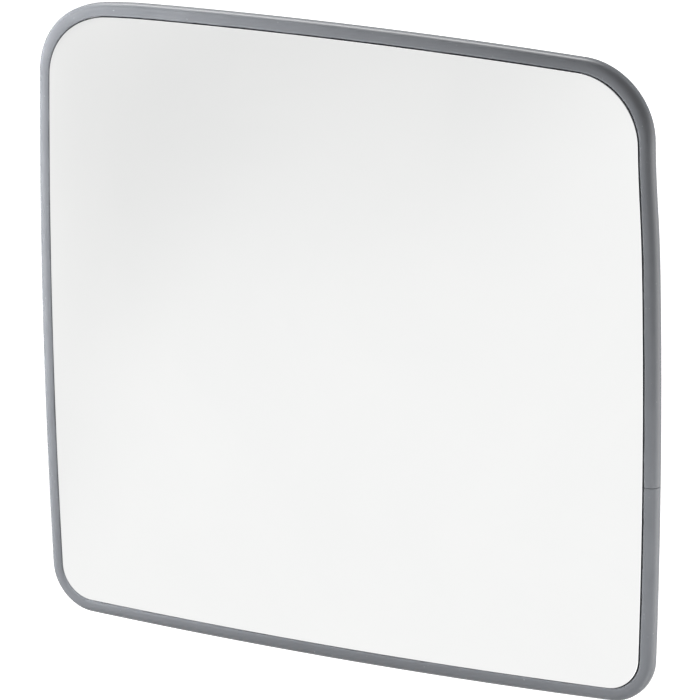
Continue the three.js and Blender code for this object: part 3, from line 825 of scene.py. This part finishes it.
bpy.data.objects.remove(tap)
tap = stack("c", [(0, 0), (3.25, 0), (3.25, 4.1), (3.9, 4.8), (3.9, 9), (0, 9)], 32)
point_down(tap, -20, -11.0)
boolean(collar, [tap])
settle(weigh(collar), "bracket", "black_coat", "arm_collar")
n = 60
rings = [(0, 11.4), (1.9, 11.4), (2.4, 11.9)] + thread(2.45, 2.9, 12.0, 19.0, 1.0, n)
rings += [(2.9, 19.1), (3.4, 19.25)] + hex_side(10, 19.25, 23.2, n, low=False, high=True) + [(3.0, 23.2), (2.6, 22.95), (0, 22.95)]
screw = stack("lock_screw", rings, n)
point_down(screw, -20, 0)
settle(screw, "bracket", "zinc", "arm_lock_screw")

# Weld bead round the collar's foot: an even run of ripples.
n = 240
th = np.arange(n) * TAU / n
rip = 0.22 * np.abs(np.sin(th * 26 + 0.6 * np.sin(th * 3))) + 0.10 * np.sin(th * 5 + 1)
bead = [(16.02, -3.02), (16.02, -5.6)]
rings = [(np.full(n, 15.6), np.full(n, -3.02)), (np.full(n, 15.6), np.full(n, -5.9))]
for a in range(0, 91, 10):
    t = math.radians(a)
    rings.append((15.98 + (2.7 + rip) * math.sin(t) ** 1.15, -3.02 - (2.9 + rip) * math.cos(t) ** 1.15))
settle(stack("weld_bead", rings, n, closed=True, sharp=60), "bracket", "black_coat")

# -------------------------------------------------------------------- stage
AMBIENT = 0.08
SOFT_BOXES = [(130, -15, 2.2, 14), (95, -15, 1.9, 14), (75, -55, 2.2, 14), (-118, 60, 8.0, 24), (180, 27, -0.75, 6)]
LAMPS = [(-60, -6, 0.55, 0.25, 3.5), (-62, 35, 0.55, 0.25, 2.6), (-35, 60, 0.55, 0.25, 0.5), (-60, 3, 2.6, 1.2, 15.0),
         (58, -20, 0.45, 0.2, 0.95), (150, 35, 2.6, 1.4, 60.0), (-150, 15, 2.6, 1.4, 40.0), (180, -45, 2.6, 1.4, 18.0)]


def floor():
    n, R, z = 96, 14.0, -2.3
    verts = [(0, 0, z)] + [(R * math.cos(TAU * i / n), R * math.sin(TAU * i / n), z) for i in range(n)]
    m = bpy.data.meshes.new("floor")
    m.from_pydata(verts, [], [(0, 1 + i, 1 + (i + 1) % n) for i in range(n)])
    ob = bpy.data.objects.new("floor", m)
    scene.collection.objects.link(ob)
    mat, nt, b = new_material("floor")
    b.inputs["Base Color"].default_value = (0.9, 0.9, 0.9, 1)
    b.inputs["Roughness"].default_value = 0.9
    b.inputs["Specular IOR Level"].default_value = 0.0
    b.inputs["Emission Color"].default_value = (1, 1, 1, 1)
    b.inputs["Emission Strength"].default_value = 1.05
    m.materials.append(mat)
    ob.visible_glossy = ob.visible_diffuse = ob.visible_shadow = False


floor()


def heading(az, el):
    """Unit vector at an azimuth from the front (-Y) towards +X, and an elevation."""
    a, e = math.radians(az), math.radians(el)
    return Vector((math.sin(a) * math.cos(e), -math.cos(a) * math.cos(e), math.sin(e)))


# The studio the glossy surfaces see: white, a little darker above and to the left, with soft boxes
# behind the object and to its right. Soft surfaces are lit by the lamps below.
world = bpy.data.worlds.new("studio")
scene.world = world
world.use_nodes = True
wn = world.node_tree
wn.nodes.clear()


def wmath(op, a, b=0.0, c=0.0):
    node = wn.nodes.new("ShaderNodeMath")
    node.operation = op
    for k, val in enumerate((a, b, c)):
        if isinstance(val, (int, float)):
            node.inputs[k].default_value = val
        else:
            wn.links.new(val, node.inputs[k])
    return node.outputs[0]


def toward(direction):
    node = wn.nodes.new("ShaderNodeVectorMath")
    node.operation = "DOT_PRODUCT"
    wn.links.new(sky.outputs["Generated"], node.inputs[0])
    node.inputs[1].default_value = direction
    return node.outputs["Value"]


def step(value, lo, hi, size):
    node = wn.nodes.new("ShaderNodeMapRange")
    node.interpolation_type = "SMOOTHSTEP"
    node.inputs["From Min"].default_value, node.inputs["From Max"].default_value = lo, hi
    node.inputs["To Min"].default_value, node.inputs["To Max"].default_value = 0.0, size
    wn.links.new(value, node.inputs["Value"])
    return node.outputs["Result"]


sky = wn.nodes.new("ShaderNodeTexCoord")
level = wmath("SUBTRACT", 1.0435, step(toward(heading(-64.8, 14.2)), 0.812, 0.99, 0.137))
level = wmath("SUBTRACT", level, step(toward(heading(-161.4, 75.2)), -0.6, 0.315, 0.12))
for az, el, size, tight in SOFT_BOXES:
    lobe = wmath("EXPONENT", wmath("MULTIPLY_ADD", toward(heading(az, el)), tight, -tight))
    level = wmath("MULTIPLY_ADD", lobe, size, level)


def backdrop(strength):
    node = wn.nodes.new("ShaderNodeBackground")
    node.inputs["Color"].default_value = (1, 1, 1, 1)
    if isinstance(strength, float):
        node.inputs["Strength"].default_value = strength
    else:
        wn.links.new(strength, node.inputs["Strength"])
    return node.outputs[0]


def choose(fac, a, b):
    node = wn.nodes.new("ShaderNodeMixShader")
    wn.links.new(fac, node.inputs[0])
    wn.links.new(a, node.inputs[1])
    wn.links.new(b, node.inputs[2])
    return node.outputs[0]


path = wn.nodes.new("ShaderNodeLightPath")
shade = choose(path.outputs["Is Diffuse Ray"], backdrop(level), backdrop(AMBIENT))
shade = choose(path.outputs["Is Camera Ray"], shade, backdrop(1.03))
out = wn.nodes.new("ShaderNodeOutputWorld")
wn.links.new(shade, out.inputs[0])

for k, (az, el, distance, size, power) in enumerate(LAMPS):
    lamp = bpy.data.lights.new(f"lamp_{k}", "AREA")
    lamp.shape, lamp.size, lamp.energy = "DISK", size, power
    ob = bpy.data.objects.new(f"lamp_{k}", lamp)
    scene.collection.objects.link(ob)
    v = heading(az, el)
    ob.location = Vector((0, -0.2, 0)) + v * distance
    ob.rotation_euler = (-v).to_track_quat("-Z", "Y").to_euler()
    ob.visible_glossy = ob.visible_camera = False

scene.view_settings.view_transform = "Standard"
scene.view_settings.look = "None"
scene.view_settings.exposure = 0.0
scene.view_settings.gamma = 1.0

# ------------------------------------------------------------------- camera
yaw, pitch, roll = math.radians(29.88), math.radians(16.076), math.radians(-0.728)
cy, sy, cp, sp = math.cos(yaw), math.sin(yaw), math.cos(pitch), math.sin(pitch)
back = Vector((sy * cp, -cy * cp, sp))
right = Vector((cy, sy, 0))
up = back.cross(right)
r = math.cos(roll) * right + math.sin(roll) * up
u = -math.sin(roll) * right + math.cos(roll) * up
C = Vector((4.251, MID_Y, -2.061)) * MM + back * 4.1512
cam_data = bpy.data.cameras.new("camera")
cam = bpy.data.objects.new("camera", cam_data)
scene.collection.objects.link(cam)
cam.matrix_world = Matrix(((r.x, u.x, back.x, C.x), (r.y, u.y, back.y, C.y), (r.z, u.z, back.z, C.z), (0, 0, 0, 1)))
cam_data.sensor_fit = "HORIZONTAL"
cam_data.sensor_width = 36.0
cam_data.lens = 36.0 * 6542.8 / 700
cam_data.clip_start, cam_data.clip_end = 0.05, 60
scene.camera = cam
